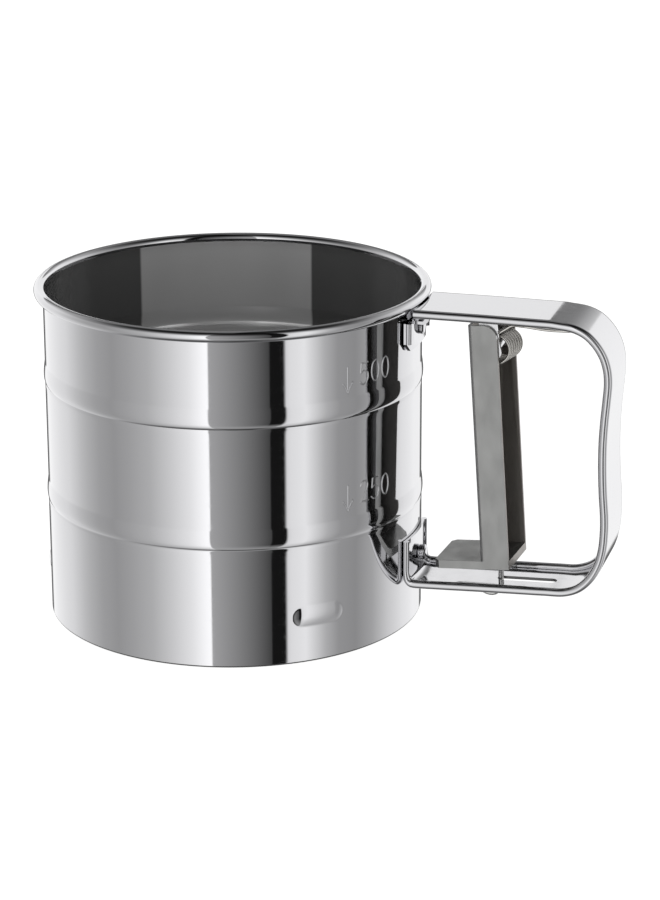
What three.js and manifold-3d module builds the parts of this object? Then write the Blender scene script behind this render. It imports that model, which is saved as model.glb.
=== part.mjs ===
// Hand-held flour sifter with a squeeze trigger: sheet-metal cup, riveted loop handle, sprung
// trigger, wire link, oscillating agitator over a sieve. Units are millimetres, +Z is up,
// +X runs from the cup's axis towards the handle. The origin is under the middle of the whole
// part, on the plane it rests on.
import * as THREE from 'three';
import { mergeVertices } from 'three/addons/utils/BufferGeometryUtils.js';
import Module from 'manifold-3d';

const wasm = await Module();
wasm.setup();

// Cup
const WALL = 0.6;
const R_TOP = 50.0;
const R_MID = 50.05;
const R_LOW = 50.15;
const RIM_Z = 88.46;
const RIM_R = 50.85;
const RIM_BEAD = 1.5;
const UPPER_BAND_Z = 64.0;
const LOWER_BAND_Z = 31.9;
const HEM_Z = 2.4;
const HEM_R = 48.9;
const SEGMENTS = 48;

// Sieve and agitator
const RING_R = [47.35, 49.3];
const LEDGE_Z = [5.8, 6.6];
const MESH_Z = [6.7, 7.1];
const CLAMP_Z = [7.2, 8.2];
const STAR_Z = [8.45, 9.25];
const STAR_R = 45.4;
const SPIDER_Z = [12.1, 13.1];
const POCKET_Z = 12.6;
const POCKET_LENGTH = 14.0;
const POCKET_HEIGHT = 5.2;
const POCKET_RISE = 0.55;
const POCKET_AZIMUTHS = [-47.2, 72.8, 192.8];
const SHANK_R = 2.0;

// Link wire
const WIRE_R = 0.75;
const LINK_Z = 10.3;
const LINK_X = 73.6;
const TRAVEL = 14.0;
const CRANK_Y = 22.0;

// Handle
const STRIP_HALF = 10.5;
const SHEET = 0.8;
const BEAD_R = 1.15;
const TOP_Z = 87.75;
const REACH = 103.7;
const TAB_R = 50.35;
const TAB_TOP_Z = 24.6;
const CORNER_R = 2.7;

// Trigger
const PIVOT = [72.2, 77.6];
const TILT = 3.8;
const TRIGGER_HALF = 8.5;
const WEB_X = -5.25;
const EDGE_X = 2.4;
const TRIGGER_TOP = 7.0;
const TRIGGER_BOTTOM = -59.0;
const FOOT_TOP = -56.8;
const FOOT_X = -17.6;
const PIN_R = 1.0;

const SHIFT = (REACH - RIM_R - RIM_BEAD) / 2;

const STEEL = { color: 0xc9ccd2, roughness: 0.12, metalness: 1.0 };
const SATIN = { color: 0xa3a19d, roughness: 0.42, metalness: 0.9 };
const WIRE = { color: 0xb9b8b4, roughness: 0.25, metalness: 1.0 };
const MESH = { color: 0xb4b6ba, roughness: 0.4, metalness: 0.9 };

const radians = THREE.MathUtils.degToRad;

function solid(geometry, matrix) {
  const bare = geometry.clone();
  bare.deleteAttribute('normal');
  bare.deleteAttribute('uv');
  if (matrix) bare.applyMatrix4(matrix);
  const merged = mergeVertices(bare, 1e-4);
  const position = merged.getAttribute('position');
  const index = Array.from(merged.index.array);
  if (signedVolume(position, index) < 0) flip(index);
  return new wasm.Manifold(new wasm.Mesh({
    numProp: 3,
    vertProperties: new Float32Array(position.array),
    triVerts: new Uint32Array(dropSlivers(index)),
  }));
}

function dropSlivers(index) {
  const kept = [];
  for (let i = 0; i < index.length; i += 3) {
    const [a, b, c] = index.slice(i, i + 3);
    if (a !== b && b !== c && c !== a) kept.push(a, b, c);
  }
  return kept;
}

function signedVolume(position, index) {
  const [a, b, c] = [new THREE.Vector3(), new THREE.Vector3(), new THREE.Vector3()];
  let total = 0;
  for (let i = 0; i < index.length; i += 3) {
    a.fromBufferAttribute(position, index[i]);
    b.fromBufferAttribute(position, index[i + 1]);
    c.fromBufferAttribute(position, index[i + 2]);
    total += a.dot(b.cross(c));
  }
  return total / 6;
}

function flip(index) {
  for (let i = 0; i < index.length; i += 3) {
    [index[i + 1], index[i + 2]] = [index[i + 2], index[i + 1]];
  }
}

function node(name, body, look) {
  const out = body.getMesh();
  const geometry = new THREE.BufferGeometry();
  geometry.setAttribute('position', new THREE.BufferAttribute(out.vertProperties, 3));
  geometry.setIndex(new THREE.BufferAttribute(out.triVerts, 1));
  geometry.computeVertexNormals();
  const mesh = new THREE.Mesh(geometry, new THREE.MeshStandardMaterial(look));
  mesh.name = name;
  return mesh;
}

const move = (x, y, z) => new THREE.Matrix4().makeTranslation(x, y, z);
const turnZ = (degrees) => new THREE.Matrix4().makeRotationZ(radians(degrees));
const LIE_ALONG_Y = new THREE.Matrix4().makeRotationX(Math.PI / 2);
const LIE_ALONG_X = new THREE.Matrix4().makeRotationZ(-Math.PI / 2);

function lathe(points, segments = SEGMENTS) {
  const profile = points.map(([r, z]) => new THREE.Vector2(r, z));
  return solid(new THREE.LatheGeometry(profile, segments), LIE_ALONG_Y);
}

function box([x0, x1], [y0, y1], [z0, z1]) {
  const geometry = new THREE.BoxGeometry(x1 - x0, y1 - y0, z1 - z0);
  return solid(geometry, move((x0 + x1) / 2, (y0 + y1) / 2, (z0 + z1) / 2));
}

function disc(radius, z0, z1, x = 0, y = 0, segments = 32) {
  const geometry = new THREE.CylinderGeometry(radius, radius, z1 - z0, segments);
  geometry.applyMatrix4(LIE_ALONG_Y);
  return solid(geometry, move(x, y, (z0 + z1) / 2));
}

function rod(radius, [x, z], y0, y1, segments = 24) {
  const geometry = new THREE.CylinderGeometry(radius, radius, y1 - y0, segments);
  return solid(geometry, move(x, (y0 + y1) / 2, z));
}

// Outline in plan, raised from z0 to z1.
function slab(points, z0, z1, matrix) {
  const shape = new THREE.Shape(points.map(([x, y]) => new THREE.Vector2(x, y)));
  const geometry = new THREE.ExtrudeGeometry(shape, { depth: z1 - z0, bevelEnabled: false });
  geometry.applyMatrix4(move(0, 0, z0));
  return solid(geometry, matrix);
}

// Outline in the upright plane of the handle, spread from y0 to y1.
function plate(points, y0, y1, matrix = new THREE.Matrix4()) {
  const shape = new THREE.Shape(points.map(([x, z]) => new THREE.Vector2(x, z)));
  const geometry = new THREE.ExtrudeGeometry(shape, { depth: y1 - y0, bevelEnabled: false });
  geometry.applyMatrix4(LIE_ALONG_Y);
  geometry.applyMatrix4(move(0, y1, 0));
  return solid(geometry, matrix);
}

function arc(cx, cy, radius, from, to, steps) {
  return Array.from({ length: steps + 1 }, (_, i) => {
    const angle = radians(from + (to - from) * i / steps);
    return [cx + radius * Math.cos(angle), cy + radius * Math.sin(angle)];
  });
}

function stadium(length, height, steps = 6) {
  const half = (length - height) / 2;
  return [
    ...arc(half, 0, height / 2, -90, 90, steps),
    ...arc(-half, 0, height / 2, 90, 270, steps),
  ];
}

// Section swept along a curve. On a level, upright curve, section x points down at the start.
function sweep(section, curve, steps, bend) {
  const shape = new THREE.Shape(section.map(([x, y]) => new THREE.Vector2(x, y)));
  const geometry = new THREE.ExtrudeGeometry(shape, { steps, extrudePath: curve, bevelEnabled: false });
  if (bend) bend(geometry.getAttribute('position'));
  return solid(geometry);
}

const round = (radius, sides = 8) => arc(0, 0, radius, 0, 360 - 360 / sides, sides - 1);

function path(points, tension = 0.5) {
  const vectors = points.map(([x, y, z]) => new THREE.Vector3(x, y, z));
  return new THREE.CatmullRomCurve3(vectors, false, 'centripetal', tension);
}

// ---- Cup -------------------------------------------------------------------

// One stepped band: a convex bead that ends below in a crisp valley.
function band(valley, above, below, offset) {
  return [
    [below - offset, valley - 0.5],
    [below - 0.16 - offset, valley],
    [above - offset, valley + 0.4],
    [above + 0.34 - offset, valley + 1.8],
    [above + 0.24 - offset, valley + 3.9],
    [above - offset, valley + 5.0],
  ];
}

function cupProfile() {
  const outside = [
    [R_LOW, 0],
    ...band(LOWER_BAND_Z, R_MID, R_LOW, 0),
    ...band(UPPER_BAND_Z, R_TOP, R_MID, 0),
    [R_TOP, RIM_Z - 0.53],
    ...arc(RIM_R, RIM_Z, RIM_BEAD - WALL, 180, -100, 6),
  ];
  const rolled = arc(RIM_R, RIM_Z, RIM_BEAD, -100, 205, 9);
  const inside = [
    ...band(UPPER_BAND_Z, R_TOP, R_MID, WALL).reverse(),
    ...band(LOWER_BAND_Z, R_MID, R_LOW, WALL).reverse(),
    [R_LOW - WALL, HEM_Z + 0.5],
    [HEM_R, HEM_Z],
    [HEM_R, 0],
    [R_LOW, 0],
  ];
  return [...outside, ...rolled, ...inside];
}

function pocketPrism(azimuth, length, height, r0, r1) {
  const shape = stadium(length, height);
  const stand = new THREE.Matrix4().makeBasis(
    new THREE.Vector3(0, 1, 0), new THREE.Vector3(0, 0, 1), new THREE.Vector3(1, 0, 0));
  const place = turnZ(azimuth).multiply(move(r0, 0, POCKET_Z)).multiply(stand);
  return slab(shape, 0, r1 - r0, place);
}

function markArrow(azimuth, top) {
  const outline = [[-0.35, 0], [-0.35, -4.2], [-1.6, -3.9], [0, -6.9], [1.6, -3.9], [0.35, -4.2], [0.35, 0]];
  const stand = new THREE.Matrix4().makeBasis(
    new THREE.Vector3(0, 1, 0), new THREE.Vector3(0, 0, 1), new THREE.Vector3(1, 0, 0));
  return slab(outline, 0, 2, turnZ(azimuth).multiply(move(R_TOP - 1.2, 0, top)).multiply(stand));
}

function cupShell() {
  let body = lathe(cupProfile());
  const bumpLimit = disc(R_LOW + POCKET_RISE, 5, 20, 0, 0, SEGMENTS);
  const recessLimit = disc(R_LOW - WALL + POCKET_RISE, 5, 20, 0, 0, SEGMENTS);
  for (const azimuth of POCKET_AZIMUTHS) {
    const bump = pocketPrism(azimuth, POCKET_LENGTH, POCKET_HEIGHT, R_LOW - 0.5, R_LOW + 2);
    const recess = pocketPrism(azimuth, POCKET_LENGTH - 1.2, POCKET_HEIGHT - 1.2, R_LOW - 3, R_LOW + 2);
    body = body.add(bump.intersect(bumpLimit)).subtract(recess.intersect(recessLimit));
  }
  const markLimit = disc(R_TOP + 0.25, 60, 90, 0, 0, SEGMENTS);
  const lowMarkLimit = disc(R_MID + 0.25, 38, 50, 0, 0, SEGMENTS);
  body = body.add(markArrow(-37.0, 77.3).intersect(markLimit));
  body = body.add(markArrow(-37.0, 45.8).intersect(lowMarkLimit));
  body = body.subtract(xRod(1.1, 0, LINK_Z, 47, 53));
  body = body.subtract(xRod(1.55, 0, UPPER_RIVET_Z, 47, 53));
  return body.subtract(xRod(1.55, 0, LOWER_RIVET_Z, 47, 53));
}

function xRod(radius, y, z, x0, x1, segments = 24) {
  const geometry = new THREE.CylinderGeometry(radius, radius, x1 - x0, segments);
  geometry.applyMatrix4(LIE_ALONG_X);
  return solid(geometry, move((x0 + x1) / 2, y, z));
}

// ---- Sieve and agitator ------------------------------------------------------

// Angle ring: its skirt stands on the cup's hem and its ledge carries the mesh.
function meshSupportRing() {
  const [inner, outer] = RING_R;
  const skirt = outer - 0.5;
  return lathe([
    [skirt, HEM_Z + 0.6], [outer, HEM_Z + 0.6], [outer, LEDGE_Z[1]],
    [inner, LEDGE_Z[1]], [inner, LEDGE_Z[0]], [skirt, LEDGE_Z[0]], [skirt, HEM_Z + 0.6],
  ]);
}

function sieveMesh() {
  return disc(RING_R[1] - 0.05, MESH_Z[0], MESH_Z[1], 0, 0, SEGMENTS);
}

function meshClampRing() {
  const [inner, outer] = RING_R;
  const [low, high] = CLAMP_Z;
  return lathe([[inner, low], [outer, low], [outer, high], [inner, high], [inner, low]]);
}

function arm(azimuth, halfWidth, reach, [z0, z1]) {
  const outline = [[0, -halfWidth], [reach, -halfWidth], [reach, halfWidth], [0, halfWidth]];
  return slab(outline, z0, z1, turnZ(azimuth));
}

function agitatorSpider() {
  const [z0, z1] = SPIDER_Z;
  let body = disc(9, z0, z1);
  for (const azimuth of POCKET_AZIMUTHS) {
    body = body.add(arm(azimuth, 4.6, R_LOW, SPIDER_Z));
  }
  body = body.intersect(disc(R_LOW - WALL + 0.3, 0, 30, 0, 0, SEGMENTS));
  return body.subtract(disc(SHANK_R + 0.04, 0, 30));
}

const CRANK_REST = THREE.MathUtils.radToDeg(Math.atan2(CRANK_Y, -TRAVEL / 2));
const CRANK_REACH = Math.hypot(CRANK_Y, TRAVEL / 2);

function agitatorStar() {
  const [z0, z1] = STAR_Z;
  let body = disc(8, z0, z1);
  for (let i = 0; i < 6; i += 1) {
    body = body.add(arm(CRANK_REST + 60 * i, i === 0 ? 4.5 : 3.6, STAR_R, STAR_Z));
  }
  body = body.intersect(disc(STAR_R, 0, 30, 0, 0, SEGMENTS));
  const slotLength = CRANK_REACH - CRANK_Y + 2 * (WIRE_R + 0.35);
  const slot = stadium(slotLength, 2 * (WIRE_R + 0.3));
  const centre = turnZ(CRANK_REST).multiply(move((CRANK_REACH + CRANK_Y) / 2, 0, 0));
  body = body.subtract(slab(slot, 0, 30, centre));
  return body.subtract(disc(SHANK_R + 0.08, 0, 30));
}

function centreRivet() {
  return lathe([
    [0, 7.25], [3.4, 7.25], [3.4, 7.85], [SHANK_R, 7.85],
    [SHANK_R, 13.75], [3.9, 13.75], [3.5, 14.4], [2.2, 14.9], [0, 15.1],
  ], 32);
}

function ringBetween(inner, outer, z0, z1) {
  return disc(outer, z0, z1).subtract(disc(inner, z0 - 1, z1 + 1));
}

// ---- Link wire -----------------------------------------------------------------

function linkWire() {
  const hook = -TRAVEL / 2;
  const curve = path([
    [LINK_X, 0, 24.0], [LINK_X, 0, 20], [LINK_X, 0, 15], [LINK_X, 0, 11.6],
    [LINK_X - 0.5, 0, 10.1], [LINK_X - 1.5, 0, 9.2], [LINK_X - 2.7, 0, 8.95], [LINK_X - 4.0, 0, 9.2],
    [LINK_X - 5.3, 0, 9.85], [LINK_X - 6.8, 0, 10.22], [LINK_X - 9, 0, LINK_Z],
    [LINK_X - 14, 0, LINK_Z],
    [50, 0, LINK_Z], [42, 0, LINK_Z], [34, 0, LINK_Z], [30.5, 0.8, LINK_Z],
    [27.5, 3.5, LINK_Z], [15.5, 18.5, LINK_Z], [12.5, 21.3, LINK_Z], [9, CRANK_Y, LINK_Z],
    [2, CRANK_Y, LINK_Z], [hook + 2.2, CRANK_Y, LINK_Z], [hook + 0.5, CRANK_Y, LINK_Z - 0.25],
    [hook, CRANK_Y, LINK_Z - 0.9], [hook, CRANK_Y, 7.75],
  ]);
  return sweep(round(WIRE_R, 6), curve, 64);
}

// ---- Handle ----------------------------------------------------------------------

function stripSection() {
  const half = STRIP_HALF - BEAD_R;
  const floor = [-8.0, -4.8, -1.6, 1.6, 4.8, 8.0];
  const across = [
    ...floor.map((y) => [y, 0]),
    ...arc(half, BEAD_R, BEAD_R, -90, 180, 5),
    ...floor.map((y) => [-y, SHEET]),
    ...arc(-half, BEAD_R, BEAD_R, 0, 270, 5),
  ];
  return across.map(([y, inwards]) => [inwards, y]);
}

// Outer face of the loop, clockwise from the rim: top run, corner, waisted grip, corner, floor.
function handlePath() {
  const lower = TAB_R + CORNER_R;
  const outline = [
    [RIM_R + RIM_BEAD + 0.45, TOP_Z], [58.1, TOP_Z], [70, TOP_Z], [81.8, 87.65], [89.7, 87.6],
    [93.65, 87.0], [97.2, 85.3], [100.05, 82.65], [102.15, 79.4], [103.35, 75.7], [REACH, 72],
    [103.45, 67.45], [103, 61.6], [102.75, 55.7], [102.8, 49.3], [103.15, 42.4], [103.65, 36.2],
    [REACH, 31.6], [103.3, 26.7], [102.15, 22.25], [99.9, 18.1], [96.65, 15], [92.7, 13.45],
    [87.15, 13.1], [78.25, 12.75], [68.3, 12.35], [59.35, 11.95], [lower + 0.25, 11.73],
    ...arc(lower, 11.7 + CORNER_R, CORNER_R, -110, -180, 4),
    [TAB_R, 16.8], [TAB_R, 20.2], [TAB_R, TAB_TOP_Z],
  ];
  return path(outline.map(([x, z]) => [x, 0, z]));
}

// Ends of the strip follow the round wall of the cup.
function wrapToCup(position) {
  for (let i = 0; i < position.count; i += 1) {
    const [x, y] = [position.getX(i), position.getY(i)];
    const sag = TAB_R - Math.sqrt(TAB_R * TAB_R - y * y);
    const fade = THREE.MathUtils.clamp((60 - x) / 6, 0, 1);
    position.setX(i, x - sag * fade);
  }
}

const UPPER_RIVET_Z = 80.8;
const LOWER_RIVET_Z = 18.55;

function handleStrip() {
  const slot = stadium(TRAVEL + 2 * WIRE_R + 0.5, 3.2);
  const middle = LINK_X + TRAVEL / 2 + 0.1;
  return sweep(stripSection(), handlePath(), 80, wrapToCup)
    .subtract(slab(slot, 5, 18, move(middle, 0, 0)))
    .subtract(xRod(1.55, 0, LOWER_RIVET_Z, 47, 56));
}

// Tab against the wall, step out under the rim bead, ledge welded under the strip.
function upperBracket() {
  const [low, high] = [76.3, 84.0];
  const ledge = [TOP_Z - 2 * SHEET - 0.05, TOP_Z - SHEET - 0.05];
  const outer = TAB_R + SHEET;
  const wall = lathe([[TAB_R, low], [outer, low], [outer, high], [TAB_R, high], [TAB_R, low]], 120);
  const face = plateAcross([[-10.3, high], [-10.3, low + 2.2], [-8, low], [8, low], [10.3, low + 2.2], [10.3, high]]);
  let body = wall.intersect(face);
  body = body.add(plate([
    [TAB_R + 0.1, high - SHEET], [53.9, high - SHEET], [54.9, high + 0.1], [55.4, ledge[0]], [64, ledge[0]],
    [64, ledge[1]], [54.6, ledge[1]], [53.9, high + 0.6], [53.4, high], [TAB_R + 0.1, high],
  ], -6.8, 6.8));
  for (const side of [-1, 1]) {
    const y = side * 9.7;
    const x = Math.sqrt(TAB_R * TAB_R - y * y) + 1.0;
    body = body.add(disc(0.85, low + 2.2, high, x, y, 12));
  }
  return body.subtract(xRod(1.55, 0, UPPER_RIVET_Z, 47, 56));
}

function plateAcross(points) {
  const stand = new THREE.Matrix4().makeBasis(
    new THREE.Vector3(0, 1, 0), new THREE.Vector3(0, 0, 1), new THREE.Vector3(1, 0, 0));
  return slab(points, 45, 56, stand);
}

function wallRivet(z, headRadius, headLength) {
  const inner = R_TOP - WALL - 0.5;
  const seat = TAB_R + SHEET + 0.05;
  const profile = [
    [0, inner - 0.8], [2.0, inner - 0.7], [2.3, inner - 0.2], [2.3, inner + 0.1], [1.5, inner + 0.1],
    [1.5, seat], [headRadius, seat], [headRadius, seat + headLength - 0.4],
    [headRadius - 0.5, seat + headLength], [0, seat + headLength + 0.1],
  ];
  const geometry = new THREE.LatheGeometry(profile.map(([r, x]) => new THREE.Vector2(r, x)), 24);
  geometry.applyMatrix4(LIE_ALONG_X);
  return solid(geometry, move(0, 0, z));
}

// ---- Hinge and trigger ---------------------------------------------------------------

function hingeBracket() {
  const high = TOP_Z - SHEET - 0.12;
  const [x, z] = PIVOT;
  const base = box([67.6, 77.4], [-7.6, 7.6], [high - SHEET, high]);
  const outline = [
    [x + 0.6, high - 0.1], [x - 4.4, high - 0.1], [x - 2.6, z + 3],
    ...arc(x, z, 2.2, 180, 360, 10), [x + 1.4, z + 3.2],
  ];
  const ears = plate(outline, -7.6, -6.85).add(plate(outline, 6.85, 7.6));
  return base.add(ears).subtract(rod(PIN_R + 0.04, PIVOT, -9, 9));
}

// The pin ends inside the trigger's flanges, so it doesn't show from outside.
const hingePin = () => rod(PIN_R, PIVOT, -TRIGGER_HALF + 0.35, TRIGGER_HALF - 0.35);

function triggerSection() {
  const [h, t] = [TRIGGER_HALF, SHEET];
  return [
    [EDGE_X, -h], [EDGE_X, -h + t], [WEB_X + t + 0.4, -h + t], [WEB_X + t, -h + t + 0.4],
    [WEB_X + t, h - t - 0.4], [WEB_X + t + 0.4, h - t], [EDGE_X, h - t], [EDGE_X, h],
    ...arc(WEB_X + 1, h - 1, 1, 90, 180, 3), ...arc(WEB_X + 1, -h + 1, 1, 180, 270, 3),
  ];
}

function triggerSide() {
  const corner = 3.6;
  return [
    [WEB_X - 1, TRIGGER_BOTTOM], [EDGE_X + 1, TRIGGER_BOTTOM], [EDGE_X + 1, TRIGGER_TOP - corner],
    ...arc(EDGE_X - corner, TRIGGER_TOP - corner, corner, 0, 90, 6), [WEB_X - 1, TRIGGER_TOP],
  ];
}

function footOutline(inset) {
  const [h, left, right] = [TRIGGER_HALF - inset, FOOT_X + inset, EDGE_X - inset];
  return [[right, -h], [right, h], [left + 1.2, h], [left, h - 1.2], [left, -h + 1.2], [left + 1.2, -h]];
}

// Built upright about its pivot, then leaned to the rest angle.
function trigger() {
  const lean = move(PIVOT[0], 0, PIVOT[1]).multiply(new THREE.Matrix4().makeRotationY(radians(-TILT)));
  const place = (points, z0, z1) => slab(points, z0, z1, lean);
  const channel = place(triggerSection(), TRIGGER_BOTTOM, TRIGGER_TOP);
  let body = channel.intersect(plate(triggerSide(), -20, 20, lean));
  const hollow = place(footOutline(SHEET), TRIGGER_BOTTOM - 1, FOOT_TOP - SHEET);
  body = body.subtract(place(footOutline(SHEET), TRIGGER_BOTTOM - 1, FOOT_TOP - 0.1));
  body = body.add(place(footOutline(0), TRIGGER_BOTTOM, FOOT_TOP).subtract(hollow));
  const pin = rod(PIN_R + 0.09, PIVOT, -TRIGGER_HALF + 0.3, TRIGGER_HALF - 0.3);
  const leg = slab(stadium(3.2, 2.2), 14, 22, move(LINK_X, 0, 0));
  return body.subtract(pin).subtract(leg);
}

function torsionSpring() {
  const [cx, cz] = PIVOT;
  const [radius, half, steps, wire] = [3.3, 6.2, 92, 0.45];
  const near = [
    [93.8, -half, 84.15], [86, -half, 84.0], [79.6, -half, 84.5], [76.8, -half, 84.5],
    [75.0, -half, 83.4], [73.0, -half, 82.1],
  ];
  const coil = Array.from({ length: steps + 1 }, (_, i) => {
    const angle = radians(125 + 36 * i);
    return [cx + radius * Math.cos(angle), half * (2 * i / steps - 1), cz + radius * Math.sin(angle)];
  });
  const far = [[68.85, half, 74.2], [68.85, half, 72], [69.15, half, 66], [69.5, half, 61]];
  const shape = round(wire, 6);
  return sweep(shape, path([...near, ...coil, ...far]), coil.length + 16);
}

// ---- Assembly --------------------------------------------------------------------------

const part = new THREE.Group();
part.name = 'flour_sifter';
part.position.x = -SHIFT;
part.add(
  node('cup_shell', cupShell(), STEEL),
  node('mesh_support_ring', meshSupportRing(), STEEL),
  node('sieve_mesh', sieveMesh(), MESH),
  node('mesh_clamp_ring', meshClampRing(), STEEL),
  node('agitator_spider', agitatorSpider(), STEEL),
  node('agitator_star', agitatorStar(), STEEL),
  node('centre_rivet', centreRivet(), STEEL),
  node('lower_washer', ringBetween(SHANK_R + 0.06, 5.0, 7.9, STAR_Z[0] - 0.05), STEEL),
  node('agitator_hub', ringBetween(SHANK_R + 0.07, 3.8, STAR_Z[1] + 0.01, SPIDER_Z[0] - 0.1), STEEL),
  node('upper_washer', ringBetween(SHANK_R + 0.06, 5.2, SPIDER_Z[1] + 0.05, 13.7), STEEL),
  node('link_wire', linkWire(), WIRE),
  node('handle_strip', handleStrip(), STEEL),
  node('upper_bracket', upperBracket(), STEEL),
  node('upper_rivet', wallRivet(UPPER_RIVET_Z, 2.0, 1.1), STEEL),
  node('lower_rivet', wallRivet(LOWER_RIVET_Z, 2.1, 2.0), STEEL),
  node('hinge_bracket', hingeBracket(), STEEL),
  node('hinge_pin', hingePin(), STEEL),
  node('trigger', trigger(), SATIN),
  node('torsion_spring', torsionSpring(), WIRE),
);

const root = new THREE.Group();
root.add(part);
export default root;
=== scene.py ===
import math

import bmesh
import bpy
from mathutils import Matrix, Vector


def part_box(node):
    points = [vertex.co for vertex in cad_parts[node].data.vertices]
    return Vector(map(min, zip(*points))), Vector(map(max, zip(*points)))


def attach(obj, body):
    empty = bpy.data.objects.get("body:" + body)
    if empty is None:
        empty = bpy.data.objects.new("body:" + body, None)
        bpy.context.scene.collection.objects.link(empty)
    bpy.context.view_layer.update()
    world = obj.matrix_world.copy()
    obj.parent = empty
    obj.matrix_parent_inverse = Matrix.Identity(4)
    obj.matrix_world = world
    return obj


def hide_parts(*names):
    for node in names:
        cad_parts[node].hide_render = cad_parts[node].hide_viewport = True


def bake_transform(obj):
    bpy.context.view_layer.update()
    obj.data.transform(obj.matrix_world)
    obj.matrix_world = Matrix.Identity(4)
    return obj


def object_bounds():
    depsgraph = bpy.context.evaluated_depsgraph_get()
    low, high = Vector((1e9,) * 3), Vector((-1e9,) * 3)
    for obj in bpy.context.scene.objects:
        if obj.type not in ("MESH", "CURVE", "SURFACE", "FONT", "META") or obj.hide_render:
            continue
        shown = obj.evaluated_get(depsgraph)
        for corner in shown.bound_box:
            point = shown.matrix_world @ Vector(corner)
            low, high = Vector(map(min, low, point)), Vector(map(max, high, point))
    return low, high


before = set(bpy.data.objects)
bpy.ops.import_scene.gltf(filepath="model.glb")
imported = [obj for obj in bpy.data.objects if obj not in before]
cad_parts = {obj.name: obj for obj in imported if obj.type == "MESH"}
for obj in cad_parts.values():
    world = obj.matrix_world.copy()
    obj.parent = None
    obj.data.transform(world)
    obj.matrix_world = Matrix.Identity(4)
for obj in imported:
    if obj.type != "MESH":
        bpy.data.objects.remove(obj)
cad_low, cad_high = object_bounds()

MM = 0.001
ring_low, ring_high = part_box("mesh_clamp_ring")
AXIS_X = (ring_low.x + ring_high.x) / 2
pin_low, pin_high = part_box("hinge_pin")
PIVOT = (pin_low + pin_high) / 2
BASE = Vector((AXIS_X, 0, 0))
HANDLE_AZIMUTH = 18.0


def at(x, y, z):
    """A point given in millimetres from the cup's axis and the plane it stands on."""
    return Vector((AXIS_X + x * MM, y * MM, z * MM))


def polar(radius, azimuth, z):
    a = math.radians(azimuth)
    return at(radius * math.cos(a), radius * math.sin(a), z)


# ---- mesh helpers ------------------------------------------------------------

def make(name, points, faces, sharp=40.0):
    mesh = bpy.data.meshes.new(name)
    mesh.from_pydata([tuple(p) for p in points], [], faces)
    mesh.validate()
    piece = bpy.data.objects.new(name, mesh)
    bpy.context.scene.collection.objects.link(piece)
    smooth(piece, sharp)
    return piece


def smooth(piece, sharp=40.0):
    mesh = piece.data
    mesh.polygons.foreach_set("use_smooth", [True] * len(mesh.polygons))
    mesh.set_sharp_from_angle(angle=math.radians(sharp))


def rows_to_faces(rows, columns, close_rows, close_columns):
    faces = []
    for i in range(rows if close_rows else rows - 1):
        for j in range(columns if close_columns else columns - 1):
            a, b = i * columns + j, i * columns + (j + 1) % columns
            k = (i + 1) % rows
            c, d = k * columns + (j + 1) % columns, k * columns + j
            faces.append((a, b, c, d))
    return faces


def outward(piece):
    bm = bmesh.new()
    bm.from_mesh(piece.data)
    bmesh.ops.recalc_face_normals(bm, faces=bm.faces)
    bm.to_mesh(piece.data)
    bm.free()
    return piece


def arc(cx, cy, radius, start, end, steps):
    return [(cx + radius * math.cos(math.radians(start + (end - start) * i / steps)),
             cy + radius * math.sin(math.radians(start + (end - start) * i / steps)))
            for i in range(steps + 1)]


def spline(points, spacing):
    """Centripetal Catmull-Rom through the points, resampled at an even spacing (mm)."""
    p = [Vector(q) for q in points]
    p = [2 * p[0] - p[1]] + p + [2 * p[-1] - p[-2]]
    dense = []
    for i in range(1, len(p) - 2):
        d0, d1, d2 = ((p[i + k] - p[i + k - 1]).length ** 0.5 for k in range(3))
        m1 = ((p[i] - p[i - 1]) / d0 - (p[i + 1] - p[i - 1]) / (d0 + d1) + (p[i + 1] - p[i]) / d1) * d1
        m2 = ((p[i + 1] - p[i]) / d1 - (p[i + 2] - p[i]) / (d1 + d2) + (p[i + 2] - p[i + 1]) / d2) * d1
        for k in range(24):
            t = k / 24
            dense.append(p[i] * (2 * t**3 - 3 * t**2 + 1) + m1 * (t**3 - 2 * t**2 + t)
                         + p[i + 1] * (3 * t**2 - 2 * t**3) + m2 * (t**3 - t**2))
    dense.append(p[-2])
    return resample(dense, spacing)


def resample(dense, spacing):
    lengths = [0.0]
    for a, b in zip(dense, dense[1:]):
        lengths.append(lengths[-1] + (b - a).length)
    count = max(2, round(lengths[-1] / spacing))
    out, k = [], 0
    for i in range(count + 1):
        target = lengths[-1] * i / count
        while k < len(dense) - 2 and lengths[k + 1] < target:
            k += 1
        span = lengths[k + 1] - lengths[k] or 1.0
        out.append(dense[k].lerp(dense[k + 1], (target - lengths[k]) / span))
    return out


def tube(name, points, radius, sides=12, round_ends=True):
    """Round wire along points (mm, from the cup's axis)."""
    p = [Vector(q) for q in points]
    rings, normal = [], None
    for i, q in enumerate(p):
        tangent = (p[min(i + 1, len(p) - 1)] - p[max(i - 1, 0)]).normalized()
        if normal is None:
            normal = tangent.orthogonal().normalized()
        normal = (normal - tangent * normal.dot(tangent)).normalized()
        side = tangent.cross(normal)
        rings.append((q, tangent, normal, side, radius))
    if round_ends:
        for end, sign in ((0, -1), (-1, 1)):
            q, t, n, s, r = rings[end]
            caps = [(q + t * sign * r * math.sin(a), t, n, s, r * math.cos(a)) for a in (0.5, 1.0, 1.4)]
            rings = caps[::-1] + rings if end == 0 else rings + caps
    verts = []
    for q, t, n, s, r in rings:
        for k in range(sides):
            a = 2 * math.pi * k / sides
            v = q + n * r * math.cos(a) + s * r * math.sin(a)
            verts.append(at(*v))
    faces = rows_to_faces(len(rings), sides, False, True)
    last = (len(rings) - 1) * sides
    faces += [tuple(range(sides - 1, -1, -1)), tuple(range(last, last + sides))]
    return outward(make(name, verts, faces, 60))


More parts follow.
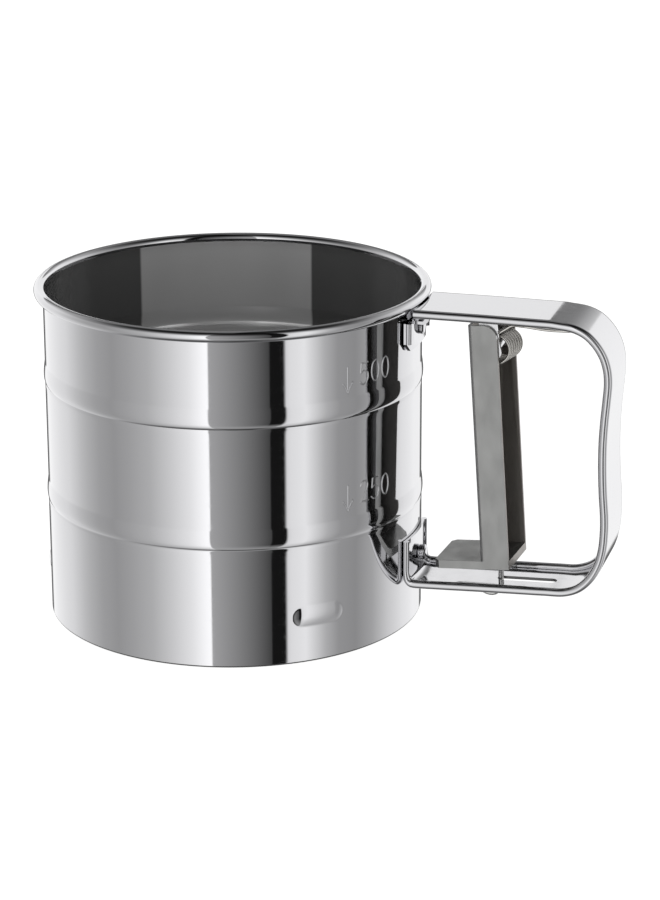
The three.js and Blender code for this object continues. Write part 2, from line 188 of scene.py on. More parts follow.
def bevel(piece, width):
    modifier = piece.modifiers.new("edge", "BEVEL")
    modifier.width = width * MM
    modifier.segments = 2
    modifier.limit_method = "ANGLE"
    modifier.angle_limit = math.radians(35.0)
    modifier.harden_normals = True


def bake(piece, sharp=40.0):
    """Applies the piece's modifiers to its mesh."""
    depsgraph = bpy.context.evaluated_depsgraph_get()
    mesh = bpy.data.meshes.new_from_object(piece.evaluated_get(depsgraph))
    piece.modifiers.clear()
    piece.data = mesh
    smooth(piece, sharp)
    return piece


def cut(piece, tool):
    modifier = piece.modifiers.new("cut", "BOOLEAN")
    modifier.operation = "DIFFERENCE"
    modifier.solver = "EXACT"
    modifier.object = tool
    bpy.context.view_layer.update()
    bake(piece)
    bpy.data.objects.remove(tool)
    return piece


def settle(piece, body, slot, *nodes):
    """Puts a piece that already carries its materials on its body."""
    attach(piece, body)
    if nodes:
        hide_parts(*nodes)
    return piece


def place(piece, body, slot, material, *nodes):
    piece.data.materials.clear()
    piece.data.materials.append(material)
    return settle(piece, body, slot, *nodes)


def rounded_copy(node, body, slot, material, width=0.12):
    """The node's own shape with smooth round faces and softened edges."""
    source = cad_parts[node]
    mesh = source.data.copy()
    bm = bmesh.new()
    bm.from_mesh(mesh)
    bmesh.ops.remove_doubles(bm, verts=bm.verts, dist=1e-6)
    bmesh.ops.dissolve_limit(bm, angle_limit=math.radians(1.0), verts=bm.verts, edges=bm.edges)
    bm.to_mesh(mesh)
    bm.free()
    piece = bpy.data.objects.new(node + "_finished", mesh)
    bpy.context.scene.collection.objects.link(piece)
    smooth(piece, 35)
    if width:
        bevel(piece, width)
    return place(piece, body, slot, material, node)


# ---- materials ---------------------------------------------------------------

def principled(name, colour, metallic, roughness):
    material = bpy.data.materials.new(name)
    material.use_nodes = True
    tree = material.node_tree
    shader = tree.nodes["Principled BSDF"]
    shader.inputs["Base Color"].default_value = (*colour, 1)
    shader.inputs["Metallic"].default_value = metallic
    shader.inputs["Roughness"].default_value = roughness
    return material, tree, shader


def add(tree, kind, **settings):
    node = tree.nodes.new(kind)
    for key, value in settings.items():
        if key in node.inputs:
            node.inputs[key].default_value = value
        else:
            setattr(node, key.lower(), value)
    return node


def object_noise(tree, scale, stretch, detail):
    coordinates = add(tree, "ShaderNodeTexCoord")
    mapping = add(tree, "ShaderNodeMapping", Scale=[s * 1000 for s in stretch])
    noise = add(tree, "ShaderNodeTexNoise", Scale=scale, Detail=detail)
    tree.links.new(coordinates.outputs["Object"], mapping.inputs["Vector"])
    tree.links.new(mapping.outputs["Vector"], noise.inputs["Vector"])
    return noise.outputs["Fac"]


def spread(tree, factor, low, high, start=0.3, end=0.7):
    ramp = add(tree, "ShaderNodeMapRange")
    for key, value in (("From Min", start), ("From Max", end), ("To Min", low), ("To Max", high)):
        ramp.inputs[key].default_value = value
    tree.links.new(factor, ramp.inputs["Value"])
    return ramp.outputs["Result"]


def colour_ramp(tree, factor, stops):
    ramp = add(tree, "ShaderNodeValToRGB")
    while len(ramp.color_ramp.elements) < len(stops):
        ramp.color_ramp.elements.new(0.5)
    for element, (position, value) in zip(ramp.color_ramp.elements, stops):
        element.position = position
    for element, (position, value) in zip(ramp.color_ramp.elements, stops):
        element.color = (value, value, value, 1)
    tree.links.new(factor, ramp.inputs["Fac"])
    return ramp.outputs["Color"]


def math_node(tree, operation, a, b=None):
    node = add(tree, "ShaderNodeMath", operation=operation)
    for socket, value in zip(node.inputs, (a, b)):
        if isinstance(value, (int, float)):
            socket.default_value = value
        elif value is not None:
            tree.links.new(value, socket)
    return node.outputs[0]


def mixed(tree, factor, a, b):
    """a where the factor is 0, b where it is 1."""
    node = add(tree, "ShaderNodeMix")
    for socket, value in zip((node.inputs[0], node.inputs[2], node.inputs[3]), (factor, a, b)):
        if isinstance(value, (int, float)):
            socket.default_value = value
        else:
            tree.links.new(value, socket)
    return node.outputs[0]


def bump(tree, shader, height, distance):
    node = add(tree, "ShaderNodeBump", Strength=1.0, Distance=distance * MM)
    tree.links.new(height, node.inputs["Height"])
    tree.links.new(node.outputs["Normal"], shader.inputs["Normal"])


def mirror_steel(name, colour, smooth_to, rough_to, relief):
    """Polished sheet: long faint waves from rolling, fine grain in the gloss."""
    material, tree, shader = principled(name, colour, 1.0, rough_to)
    grain = object_noise(tree, 0.35, (1, 1, 1.6), 4)
    tree.links.new(spread(tree, grain, smooth_to, rough_to), shader.inputs["Roughness"])
    wave = object_noise(tree, 0.045, (1, 1, 0.7), 1.5)
    bump(tree, shader, wave, relief)
    return material


def satin_steel(name, colour, low, high):
    """Matte tumbled sheet: even fine speckle and slight cloudiness."""
    material, tree, shader = principled(name, colour, 1.0, high)
    cloud = object_noise(tree, 0.22, (1, 1, 0.5), 3)
    tree.links.new(spread(tree, cloud, low, high), shader.inputs["Roughness"])
    speckle = object_noise(tree, 6.0, (1, 1, 1), 2)
    bump(tree, shader, speckle, 0.012)
    return material


# Azimuths of the two edges of the painted reflection on the inside of the cup: a paler panel round the
# back, darker to either side.
REFLECTION_PANEL = (81.6, 139.0)


def inside_steel():
    """Unpolished inside of the cup: hazy, with a painted reflection in its colour, a paler panel round
    the back between two crisp edges and darker steel to either side.
    """
    material, tree, shader = principled("inside_steel", (0.62, 0.62, 0.625), 0.6, 0.2)
    coordinates = add(tree, "ShaderNodeTexCoord")
    split = add(tree, "ShaderNodeSeparateXYZ")
    tree.links.new(coordinates.outputs["Object"], split.inputs[0])
    shifted = math_node(tree, "SUBTRACT", split.outputs[0], AXIS_X)
    turn = math_node(tree, "ARCTAN2", split.outputs[1], shifted)
    turn = math_node(tree, "MULTIPLY", turn, 180 / math.pi)
    # Painted reflection: the base colour is paler between the two edges and darker outside them, by the
    # azimuth round the cup.
    painted_reflection = math_node(tree, "MULTIPLY", spread(tree, turn, 0, 1, REFLECTION_PANEL[0] - 0.4, REFLECTION_PANEL[0] + 0.4),
                      spread(tree, turn, 1, 0, REFLECTION_PANEL[1] - 0.4, REFLECTION_PANEL[1] + 0.4))
    cloud = spread(tree, object_noise(tree, 0.03, (1, 1, 0.3), 2), 0.85, 1.1)
    tone = math_node(tree, "MULTIPLY", spread(tree, painted_reflection, 0.12, 0.6, 0, 1), cloud)
    tree.links.new(tone, shader.inputs["Base Color"])
    grain = object_noise(tree, 0.35, (1, 1, 1.6), 4)
    tree.links.new(spread(tree, grain, 0.16, 0.22), shader.inputs["Roughness"])
    return material


def drawn_wire(name, colour, low, high):
    material, tree, shader = principled(name, colour, 1.0, high)
    streak = object_noise(tree, 2.4, (1, 1, 1), 3)
    tree.links.new(spread(tree, streak, low, high), shader.inputs["Roughness"])
    bump(tree, shader, streak, 0.01)
    return material


POLISHED = mirror_steel("polished_steel", (0.695, 0.694, 0.71), 0.03, 0.06, 0.01)
HANDLE_STEEL = mirror_steel("handle_steel", (0.695, 0.694, 0.71), 0.05, 0.09, 0.01)
INSIDE = inside_steel()
# Near-black steel that paints shade on the strip's grip back, far fold and slot walls.
STRIP_SHADE = satin_steel("strip_painted_shade", (0.1, 0.1, 0.1), 0.16, 0.24)
# Darker warm steel painted as shade inside the trigger's channel.
WEB_SHADE = satin_steel("web_painted_shade", (0.33, 0.31, 0.29), 0.36, 0.46)
PLAIN = mirror_steel("plain_steel", (0.72, 0.72, 0.73), 0.12, 0.24, 0.01)
SATIN = satin_steel("satin_steel", (0.4, 0.402, 0.395), 0.36, 0.5)
# Near-black steel painted as shade on the web's side towards the cup.
WEB_BACK_SHADE = satin_steel("web_back_painted_shade", (0.06, 0.058, 0.055), 0.36, 0.46)
SPRING = drawn_wire("spring_wire", (0.72, 0.7, 0.66), 0.08, 0.14)
LINK = drawn_wire("link_wire", (0.66, 0.66, 0.65), 0.2, 0.34)
GAUZE = drawn_wire("mesh_wire", (0.64, 0.65, 0.66), 0.22, 0.36)

# ---- cup ---------------------------------------------------------------------

WALL = 0.6
R_TOP, R_MID, R_LOW = 50.0, 50.05, 50.15
UPPER_BAND, LOWER_BAND = 64.0, 31.9
RIM_Z, RIM_R, RIM_BEAD = 88.46, 50.85, 1.5
POCKETS = (-47.2, 72.8, 192.8)
POCKET_Z, POCKET_LENGTH, POCKET_HEIGHT, POCKET_RISE = 12.6, 14.0, 5.2, 0.42
SEAM_AZIMUTH, SEAM_DEPTH, SEAM_WIDTH = 16.0, 0.16, 0.3
BAND_HEIGHT, BAND_RISE, BAND_VALLEY, VALLEY_WIDTH = 5.2, 0.37, 0.13, 0.9
RIM_CREASE = 0.07


def band_radius(z, valley, above, below):
    """A convex bead that ends below in a narrow valley."""
    t = z - valley
    if t < -VALLEY_WIDTH:
        return below
    if t < 0:
        return below - BAND_VALLEY * (0.5 - 0.5 * math.cos(math.pi * (t + VALLEY_WIDTH) / VALLEY_WIDTH))
    if t < BAND_HEIGHT:
        rise = 1 - math.exp(-t / 0.4)
        hump = BAND_RISE * math.sin(math.pi * min(1.0, (t / BAND_HEIGHT) ** 0.62)) ** 0.9
        return (below - BAND_VALLEY) + (above - below + BAND_VALLEY) * rise + hump
    return above


def wall_radius(z):
    if z < LOWER_BAND + 16:
        return band_radius(z, LOWER_BAND, R_MID, R_LOW)
    return band_radius(z, UPPER_BAND, R_TOP, R_MID)


def pocket_rise(azimuth, z):
    """Outward height of the three pressed pockets, 0 elsewhere."""
    total = 0.0
    for centre in POCKETS:
        turn = (azimuth - centre + 180) % 360 - 180
        u = abs(math.radians(turn) * R_LOW)
        v = abs(z - POCKET_Z)
        half = (POCKET_LENGTH - POCKET_HEIGHT) / 2
        inside = POCKET_HEIGHT / 2 - math.hypot(max(u - half, 0), v)
        t = min(1.0, max(0.0, (inside + 0.1) / (POCKET_HEIGHT / 2 + 0.1)))
        total += POCKET_RISE * t * (2 - t)
    return total


def seam_depth(azimuth):
    """Butt seam of the rolled sheet: a narrow line down the wall."""
    turn = (azimuth - SEAM_AZIMUTH + 180) % 360 - 180
    u = abs(math.radians(turn) * R_TOP)
    return SEAM_DEPTH * math.exp(-(u / SEAM_WIDTH) ** 2)


def fine_steps(low, high, coarse, fine_spans, fine):
    """Values from low to high with a small step inside the given spans."""
    values, x = [], low
    while x < high - 1e-6:
        values.append(x)
        near = any(a - 1e-6 <= x < b for a, b in fine_spans)
        step = fine if near else coarse
        for a, _ in fine_spans:
            if not near and x < a < x + step:
                step = a - x
        x += step
    return values + [high]


def cup_rows():
    """Profile of the sheet as (radius, z, how much of the pocket shape it takes)."""
    spans = [(0.5, 2.0), (9.4, 15.8), (30.9, 37.5), (63.0, 69.6)]
    heights = fine_steps(0.5, 87.6, 2.2, spans, 0.3)
    outside = [(wall_radius(z), z, 1) for z in heights]
    turned_in = arc(RIM_R, RIM_Z, RIM_BEAD - WALL, 190, -100, 16)
    rolled = arc(RIM_R, RIM_Z, RIM_BEAD, -100, 83, 22)
    rolled += arc(RIM_R, RIM_Z, RIM_BEAD - RIM_CREASE, 87, 91, 1)
    rolled += arc(RIM_R, RIM_Z, RIM_BEAD, 95, 200, 14)
    rim = [(r, z, 0) for r, z in turned_in + rolled]
    inside = [(wall_radius(z) - WALL, z, 1) for z in reversed(heights) if 3.3 < z < 87.4]
    hem = [(R_LOW - WALL, 3.0, 0), (R_LOW - WALL - 0.1, 2.7, 0), (49.1, 2.5, 0), (48.95, 2.2, 0),
           (48.9, 1.4, 0), (48.9, 0.5, 0), (49.0, 0.16, 0), (49.25, 0, 0)]
    hem += [(r, z, 0) for r, z in arc(R_LOW - 0.45, 0.45, 0.45, -90, -10, 5)]
    return outside + rim + inside + hem


def cup():
    rows = cup_rows()
    spans = [(-57.2, -37.2), (62.8, 82.8), (182.8, 202.8), (14.8, 17.2)]
    angles = fine_steps(-60.0, 300.0, 1.0, spans, 0.32)[:-1]
    points = []
    for radius, z, share in rows:
        for azimuth in angles:
            seam = seam_depth(azimuth)
            r = radius + (pocket_rise(azimuth, z) if share else 0)
            seam_share = 1 if share and radius > R_LOW - 0.3 else 0.6 * (1 - share)
            points.append(polar(r - seam * seam_share, azimuth, z))
    piece = outward(make("cup_body", points, rows_to_faces(len(rows), len(angles), True, True), 50))
    first = max(i for i, (radius, z, share) in enumerate(rows) if z > RIM_Z) + 3
    piece.data.materials.append(POLISHED)
    piece.data.materials.append(INSIDE)
    for face in piece.data.polygons:
        row = face.index // len(angles)
        face.material_index = int(row >= first)
    hole = tube("wire_hole", [(46, 0, 10.3), (53, 0, 10.3)], 1.1, 24, False)
    return cut(piece, hole)


settle(cup(), "cup", "polished_steel", "cup_shell")

# ---- level marks -------------------------------------------------------------

MARK_AZIMUTH, MARK_STROKE = -37.0, 0.24
# Strokes of each digit in mm, from its lower left corner.
GLYPHS = {
    "0": ([(1.5 + 1.35 * math.cos(a / 12 * 2 * math.pi), 2.8 + 2.75 * math.sin(a / 12 * 2 * math.pi))
           for a in range(13)],),
    "2": ([(0.2, 4.3), (0.7, 5.3), (1.7, 5.6), (2.6, 4.9), (2.5, 3.7), (1.5, 2.2), (0.2, 0.1)],
          [(0.2, 0.1), (1.6, 0.1), (2.9, 0.1)]),
    "5": ([(2.7, 5.6), (1.6, 5.6), (0.5, 5.6)], [(0.5, 5.6), (0.4, 4.4), (0.3, 3.1)],
          [(0.3, 3.1), (1.4, 3.6), (2.6, 3.0), (2.8, 1.6), (2.0, 0.3), (0.9, 0.0), (0.1, 0.7)]),
}


def on_wall(start, u, z, lift=-0.08):
    """A point u mm round the wall from the start azimuth, in mm from the cup's axis."""
    radius = wall_radius(z)
    a = math.radians(start) + u / radius
    return Vector(((radius + lift) * math.cos(a), (radius + lift) * math.sin(a), z))


def stroke(name, start, line, base):
    fine = spline([(u, v, 0) for u, v in line], 0.35)
    return tube(name, [on_wall(start, p.x, base + p.y) for p in fine], MARK_STROKE, 8)


def level_mark(tag, text, start, top):
    """A down arrow and a number, pressed out of the wall."""
    strokes = [[(0, 0), (0, -3.4), (0, -6.7)], [(-1.5, -4.1), (-0.7, -5.4), (0, -6.8)],
               [(1.5, -4.1), (0.7, -5.4), (0, -6.8)]]
    pieces = [stroke(f"{tag}_arrow_{i}", start, line, top) for i, line in enumerate(strokes)]
    for k, character in enumerate(text):
        for i, line in enumerate(GLYPHS[character]):
            shifted = [(u + 4.0 + 4.0 * k, v) for u, v in line]
            pieces.append(stroke(f"{tag}_{k}_{i}", start, shifted, top - 5.4))
    return pieces


def join(name, pieces):
    bm = bmesh.new()
    for piece in pieces:
        bm.from_mesh(piece.data)
    mesh = bpy.data.meshes.new(name)
    bm.to_mesh(mesh)
    bm.free()
    for piece in pieces:
        bpy.data.objects.remove(piece)
    joined = bpy.data.objects.new(name, mesh)
    bpy.context.scene.collection.objects.link(joined)
    smooth(joined, 60)
    return joined


for tag, text, top in (("upper_mark", "500", 77.3), ("lower_mark", "250", 45.8)):
    place(join(tag, level_mark(tag, text, MARK_AZIMUTH, top)), "cup", "polished_steel", POLISHED)

# ---- handle ------------------------------------------------------------------

HALF, SHEET, BEAD = 10.5, 0.8, 1.15
TOP_Z, REACH, TAB_R, TAB_TOP = 87.75, 103.7, 50.35, 24.6
LINK_X, TRAVEL, LINK_Z = 73.6, 14.0, 10.3
SLOT_WIDTH = 3.2


def handle_path():
    """Middle line of the strip's outer face, from the rim round the grip to the tab."""
    lower = TAB_R + 2.7
    outline = [(52.8, TOP_Z), (58.1, TOP_Z), (70, TOP_Z), (81.8, 87.65), (87.6, 87.6),
               (89.0, 87.47), (93.65, 86.87), (97.2, 85.3), (100.05, 82.65), (102.15, 79.4),
               (103.35, 75.7), (REACH, 72),
               (103.45, 67.45), (103, 61.6), (102.75, 55.7), (102.8, 49.3), (103.15, 42.4),
               (103.65, 36.2), (REACH, 31.6), (103.3, 26.7), (102.15, 22.25), (99.9, 18.1),
               (96.65, 15), (92.7, 13.45), (87.15, 13.1), (78.25, 12.75), (68.3, 12.35),
               (59.35, 11.95), (lower + 0.25, 11.73)]
    outline += arc(lower, 14.4, 2.7, -110, -180, 4) + [(TAB_R, 16.8), (TAB_R, 20.2), (TAB_R, TAB_TOP)]
    return spline([(x, 0, z) for x, z in outline], 0.8)


def strip_section(bead):
    """Half outline of the strip as (inward, across): flush face, curled edge, back."""
    edge = HALF - bead
    end = 180 + math.degrees(math.asin((bead - SHEET) / bead)) if bead > SHEET else 180
    half = [(0, 0), (0, 3), (0, 6), (0, edge - 0.3)]
    half += [(bead + y, edge + x) for x, y in arc(0, 0, bead, -90, end, 26)]
    back = min(SHEET, bead)
    return half + [(back, 6), (back, 3), (back, 0)]


def strip_outline(bead):
    half = strip_section(bead)
    return half + [(depth, -across) for depth, across in reversed(half[1:-1])]


def edge_radius(point, along):
    """The curled edges flatten out along the tab."""
    if along > 0.9 and point.x < TAB_R + 3:
        return BEAD - 0.4 * min(1.0, max(0.0, (point.z - 12.5) / 4))
    return BEAD


def sweep_strip(name, path):
    """The strip along the path. The grip's inner face and the fold at the far edge carry painted shade,
    a near-black steel standing in for the shade on the face turned to the cup and in the crease.
    """
    points = []
    for i, p in enumerate(path):
        t = (path[min(i + 1, len(path) - 1)] - path[max(i - 1, 0)]).normalized()
        inward = Vector((t.z, 0, -t.x))
        section = strip_outline(edge_radius(p, i / len(path)))
        for depth, across in section:
            q = p + inward * depth
            fade = min(1.0, max(0.0, (60 - q.x) / 6))
            sag = TAB_R - math.sqrt(TAB_R**2 - across**2)
            points.append(at(q.x - sag * fade, across, q.z))
    count = len(section)
    faces = rows_to_faces(len(path), count, False, True)
    faces += [tuple(range(count)), tuple(range(len(path) * count - 1, (len(path) - 1) * count - 1, -1))]
    piece = outward(make(name, points, faces, 32))
    piece.data.materials.append(HANDLE_STEEL)
    piece.data.materials.append(STRIP_SHADE)
    for face in piece.data.polygons[:count * (len(path) - 1)]:
        column = face.index % count
        # Painted shade on the grip's inner face, which faces the cup, and a painted dark crease line
        # along the far fold.
        grip_back_shade = abs(column - count // 2 + 0.5) < 4 and face.center.x > cad_high.x - 6 * MM
        far_fold_shade = column in (3, 4)
        face.material_index = int(grip_back_shade or far_fold_shade)
    return piece


def prism(name, outline, z0, z1):
    """Upright prism from an outline in plan (mm)."""
    points = [at(x, y, z0) for x, y in outline] + [at(x, y, z1) for x, y in outline]
    n = len(outline)
    faces = [(i, (i + 1) % n, n + (i + 1) % n, n + i) for i in range(n)]
    faces += [tuple(range(n)), tuple(range(2 * n - 1, n - 1, -1))]
    return outward(make(name, points, faces))


def stadium(cx, cy, length, height, steps=12):
    half = (length - height) / 2
    right = arc(cx + half, cy, height / 2, -90, 90, steps)
    return right + arc(cx - half, cy, height / 2, 90, 270, steps)


def handle():
    """The loop with its slot, whose walls carry painted shade."""
    strip = sweep_strip("handle_loop", handle_path())
    outline = stadium(LINK_X + TRAVEL / 2 + 0.1, 0, TRAVEL + 2.0, SLOT_WIDTH)
    cut(strip, prism("slot", outline, 5, 18))
    for face in strip.data.polygons:
        x, y, z = (face.center - BASE) / MM
        along = LINK_X - 2 < x < LINK_X + TRAVEL + 2
        # Painted shade on the slot's walls.
        if along and z < 16 and abs(y) < SLOT_WIDTH / 2 + 0.1 and abs(face.normal.z) < 0.6:
            face.material_index = 1
    return strip


settle(handle(), "cup", "polished_steel", "handle_strip")

# ---- sieve and agitator --------------------------------------------------------

def gauze():
    """Plain weave: every wire goes over and under its neighbours."""
    radius, pitch, wire, wave, level = 49.15, 1.35, 0.12, 0.09, 6.9
    count = int(radius / pitch)
    points, faces = [], []
    for direction in (0, 1):
        for k in range(-count, count + 1):
            offset = k * pitch
            steps = int(math.sqrt(radius**2 - offset**2) / (pitch / 2))
            if steps < 2:
                continue
            first = len(points)
            for i in range(-steps, steps + 1):
                s = i * pitch / 2
                z = level + wave * math.cos(math.pi * s / pitch) * (-1) ** (k + direction)
                for dx, dz in ((wire, 0), (0, wire), (-wire, 0), (0, -wire)):
                    x, y = (s, offset + dx) if direction == 0 else (offset + dx, s)
                    points.append(at(x, y, z + dz))
            rows = 2 * steps + 1
            last = first + (rows - 1) * 4
            faces += [tuple(first + q for q in face) for face in rows_to_faces(rows, 4, False, True)]
            faces += [(first + 3, first + 2, first + 1, first), (last, last + 1, last + 2, last + 3)]
    return outward(make("woven_mesh", points, faces, 80))


place(gauze(), "cup", "mesh_wire", GAUZE, "sieve_mesh")
for node in ("mesh_support_ring", "mesh_clamp_ring", "agitator_spider", "lower_washer", "upper_washer",
             "centre_rivet"):
    rounded_copy(node, "cup", "plain_steel", PLAIN)
for node in ("agitator_star", "agitator_hub"):
    rounded_copy(node, "agitator", "plain_steel", PLAIN)

# ---- link wire -----------------------------------------------------------------

def link_wire():
    """From the upright leg in the trigger's foot, round under the strip, to the hooked end."""
    x, z, hook, y = LINK_X, LINK_Z, -TRAVEL / 2, 22.0
    route = [(x, 0, 24.0), (x, 0, 20), (x, 0, 15), (x, 0, 11.6), (x - 0.5, 0, 10.1),
             (x - 1.5, 0, 9.2), (x - 2.7, 0, 8.95), (x - 4, 0, 9.2), (x - 5.3, 0, 9.85),
             (x - 6.8, 0, 10.22), (x - 9, 0, z), (x - 14, 0, z), (50, 0, z), (42, 0, z), (34, 0, z),
             (30.5, 0.8, z), (27.5, 3.5, z), (15.5, 18.5, z), (12.5, 21.3, z), (9, y, z), (2, y, z),
             (hook + 2.2, y, z), (hook + 0.5, y, z - 0.25), (hook, y, z - 0.9), (hook, y, 7.75)]
    return tube("link_rod", spline(route, 0.7), 0.75, 14)


place(link_wire(), "link", "spring_wire", LINK, "link_wire")

# ---- hinge, trigger, spring ------------------------------------------------------

FOOT_Z, FLANGE_INNER, TWIST = 22.0, 7.6, 0.06

rounded_copy("upper_bracket", "cup", "polished_steel", HANDLE_STEEL, 0.2)
rounded_copy("upper_rivet", "cup", "plain_steel", HANDLE_STEEL, 0.3)
rounded_copy("lower_rivet", "cup", "plain_steel", HANDLE_STEEL, 0.3)
rounded_copy("hinge_bracket", "cup", "plain_steel", PLAIN, 0.15)
rounded_copy("hinge_pin", "cup", "plain_steel", PLAIN, 0.15)


def trigger_face_material(face):
    """0 satin, 1 inside the channel with painted shade, 2 the web's side towards the cup with darker
    painted shade, 3 cut edges in the paler, glossier plain steel as a painted highlight line.
    """
    x, y = face.normal.x, face.normal.y
    web = abs(x) > 0.9 and abs(face.center.y) < FLANGE_INNER * MM
    far_flange_inside = y < -0.9 and face.center.y > 0
    if face.center.z < FOOT_Z * MM:
        return 0
    # Painted shade inside the channel and, darker, on the web's side towards the cup.
    if web or far_flange_inside:
        return 2 if x < -0.9 else 1
    # Painted highlight: the cut edges facing away from the cup take the paler, glossier plain steel.
    return 3 if x > 0.9 else 0


def trigger():
    """The lever, sheared so that its near side stands 1 mm closer to the cup than its far side."""
    piece = rounded_copy("trigger", "trigger", "satin_steel", SATIN, 0.22)
    for material in (WEB_SHADE, WEB_BACK_SHADE, PLAIN):
        piece.data.materials.append(material)
    for face in piece.data.polygons:
        face.material_index = trigger_face_material(face)
    for vertex in piece.data.vertices:
        share = min(1.0, max(0.0, (abs(vertex.co.y) - 2 * MM) / (4 * MM)))
        vertex.co.x += share * (TWIST * vertex.co.y - 0.5 * MM)


trigger()

PIVOT_X, PIVOT_Z = (PIVOT.x - AXIS_X) / MM, PIVOT.z / MM


def torsion_spring():
    """Coil round the pin that drifts a little outward and down towards its far end, with two legs."""
    cx, cz, radius, half, steps = PIVOT_X, PIVOT_Z, 3.65, 6.2, 200
    start, turned, drift_x, drift_z, wire = 125, 2592, 1.1, 1.0, 0.36
    near = [(93.8, -half, 84.15), (86, -half, 84.0), (79.6, -half, 84.5), (76.8, -half, 84.5),
            (75, -half, 83.4), (73, -half, 82.1)]
    coil = []
    for i in range(steps + 1):
        a, t = math.radians(start + turned * i / steps), i / steps
        x, z = cx + drift_x * t + radius * math.cos(a), cz - drift_z * t + radius * math.sin(a)
        coil.append((x, half * (2 * t - 1), z))
    far = [(68.85, half, 74.2), (68.85, half, 72), (69.15, half, 66), (69.5, half, 61)]
    return tube("return_spring", spline(near + coil + far, 0.4), wire, 12)


spring = torsion_spring()
spring.data.materials.append(SPRING)
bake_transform(spring)
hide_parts("torsion_spring")

# ---- stage -----------------------------------------------------------------------

def floor():
    """Ground that the camera sees as near white with a faint shadow, kept out of reflections."""
    mesh = bpy.data.meshes.new("floor")
    s, level = 4.0, -0.0003
    corners = [(-s, -s, level), (s, -s, level), (s, s, level), (-s, s, level)]
    mesh.from_pydata(corners, [], [(0, 1, 2, 3)])
    piece = bpy.data.objects.new("floor", mesh)
    bpy.context.scene.collection.objects.link(piece)
    material, tree, shader = principled("floor", (0.92, 0.92, 0.92), 0.0, 0.9)
    eye = add(tree, "ShaderNodeLightPath")
    glow = add(tree, "ShaderNodeEmission", Strength=1.13)
    mix = add(tree, "ShaderNodeMixShader")
    share = add(tree, "ShaderNodeMath", operation="MULTIPLY")
    tree.links.new(eye.outputs["Is Camera Ray"], share.inputs[0])
    share.inputs[1].default_value = 0.86
    tree.links.new(share.outputs[0], mix.inputs[0])
    tree.links.new(shader.outputs[0], mix.inputs[1])
    tree.links.new(glow.outputs[0], mix.inputs[2])
    tree.links.new(mix.outputs[0], tree.nodes["Material Output"].inputs["Surface"])
    piece.data.materials.append(material)
    piece.visible_glossy = False


# Studio cards round the object at the height of the reflections in its wall: azimuth in degrees
# from +X, brightness. The dark flag and the black edge beside it have crisp sides.
CARDS = [(-173.4, 0.42), (-162.4, 0.33), (-150, 0.285), (-138.8, 0.33), (-124.8, 0.41),
         (-111.8, 0.57), (-99.3, 0.75), (-89, 0.98), (-66, 1.0), (-64, 0.55), (-42, 0.6),
         (-39, 0.7), (-29.5, 0.77), (-22.9, 0.59),
         (-16.2, 0.41), (-7, 0.28), (6, 0.25), (19.8, 0.35), (35, 0.56), (52, 0.72), (70, 0.8),
         (95, 0.71), (108, 0.72), (130, 0.8), (148, 0.74), (166.6, 0.65), (176.2, 0.54)]
FLAG = (-87.4, -50.9, -41.8)
# How the cards fade with height (sine of the elevation), in front and behind.
FRONT_FADE = [(0.0, 1.0), (0.3, 1.0), (0.42, 0.85), (0.57, 0.5), (0.66, 0.4), (0.74, 0.2),
              (0.85, 0.05), (1.0, 0.02)]
BACK_FADE = [(0.0, 1.0), (0.268, 1.0), (0.276, 0.12), (0.42, 0.17), (0.7, 0.24), (0.87, 0.18),
             (0.95, 0.05), (1.0, 0.02)]

# Share of the fade behind, by azimuth.
BEHIND = [(71, 0), (82, 0.48), (91, 0.76), (103, 1), (124, 1), (150, 0)]


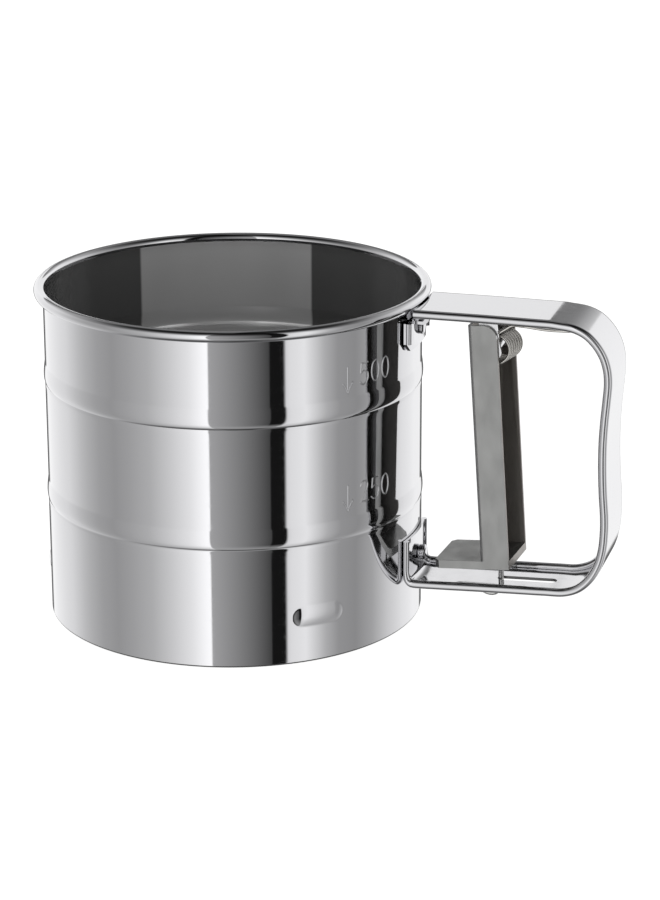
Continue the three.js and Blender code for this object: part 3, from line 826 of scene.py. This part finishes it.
def studio_world():
    """Reflections see the cards, the camera sees white, and matt finishes are lit by an even dome."""
    world = bpy.data.worlds.new("studio")
    bpy.context.scene.world = world
    world.use_nodes = True
    tree = world.node_tree
    coordinates = add(tree, "ShaderNodeTexCoord")
    split = add(tree, "ShaderNodeSeparateXYZ")
    tree.links.new(coordinates.outputs["Generated"], split.inputs[0])
    x, y, z = split.outputs
    turn = math_node(tree, "ARCTAN2", y, x)
    around = spread(tree, turn, 0, 1, -math.pi, math.pi)
    stops = [((azimuth + 180) / 360, value) for azimuth, value in CARDS]
    cards = colour_ramp(tree, around, [(0, 0.49)] + stops + [(1, 0.49)])
    degrees = math_node(tree, "MULTIPLY", turn, 180 / math.pi)
    left, middle, right = FLAG
    flag = spread(tree, degrees, 0.34, 0.05, left, middle)
    flag = mixed(tree, spread(tree, degrees, 0, 1, middle - 0.3, middle + 0.3), flag, 0.007)
    within = math_node(tree, "MULTIPLY", spread(tree, degrees, 0, 1, left - 0.4, left + 0.4),
                       spread(tree, degrees, 1, 0, right - 0.9, right + 0.9))
    cards = mixed(tree, within, cards, flag)
    behind = colour_ramp(tree, around, [((azimuth + 180) / 360, share) for azimuth, share in BEHIND])
    raised = math_node(tree, "SUBTRACT", z, spread(tree, degrees, 0, 0.085, 100.3, 101.2))
    fade = mixed(tree, behind, colour_ramp(tree, z, FRONT_FADE), colour_ramp(tree, raised, BACK_FADE))
    lit = math_node(tree, "MULTIPLY", cards, fade)
    # Darker straight below, and a dark strip just below level behind the object.
    nadir = spread(tree, z, 0.36, 0.05, -0.72, -0.92)
    lit = mixed(tree, spread(tree, z, 0, 0.9, -0.42, -0.85), lit, nadir)
    edge = colour_ramp(tree, around, [(0.742, 0), (0.75, 1), (0.846, 1), (0.856, 0)])
    low = math_node(tree, "MULTIPLY", spread(tree, z, 0, 1, -0.1, -0.2),
                    spread(tree, z, 1, 0, -0.42, -0.55))
    lit = mixed(tree, math_node(tree, "MULTIPLY", edge, low), lit, 0.1)
    eye = add(tree, "ShaderNodeLightPath")
    lit = mixed(tree, eye.outputs["Is Diffuse Ray"], lit, 1.0)
    seen = mixed(tree, eye.outputs["Is Camera Ray"], lit, 1.0)
    tree.links.new(seen, tree.nodes["Background"].inputs["Color"])
    strength = mixed(tree, eye.outputs["Is Camera Ray"], 1.42, 1.0)
    tree.links.new(strength, tree.nodes["Background"].inputs["Strength"])


def camera():
    """Photograph's viewing angle, from the front right and above."""
    data = bpy.data.cameras.new("camera")
    data.lens, data.sensor_width = 115.84, 36.0
    data.clip_start, data.clip_end = 0.05, 50
    piece = bpy.data.objects.new("camera", data)
    bpy.context.scene.collection.objects.link(piece)
    turn = Matrix.Rotation(math.radians(HANDLE_AZIMUTH), 3, "Z")
    yaw, pitch, roll = 0.034488, 0.315416, -0.002740
    level = Vector((math.sin(yaw), math.cos(yaw), 0))
    ahead = turn @ (level * math.cos(pitch) - Vector((0, 0, math.sin(pitch))))
    right = turn @ Vector((math.cos(yaw), -math.sin(yaw), 0))
    up = right.cross(ahead)
    c, s = math.cos(roll), math.sin(roll)
    right, up = (c * right + s * up, c * up - s * right)
    basis = Matrix((right, up, -ahead)).transposed()
    piece.matrix_world = Matrix.Translation(BASE + turn @ Vector((0, -0.7398, 0.2837))) @ basis.to_4x4()
    bpy.context.scene.camera = piece


floor()
studio_world()
camera()
bpy.context.scene.view_settings.view_transform = "Standard"
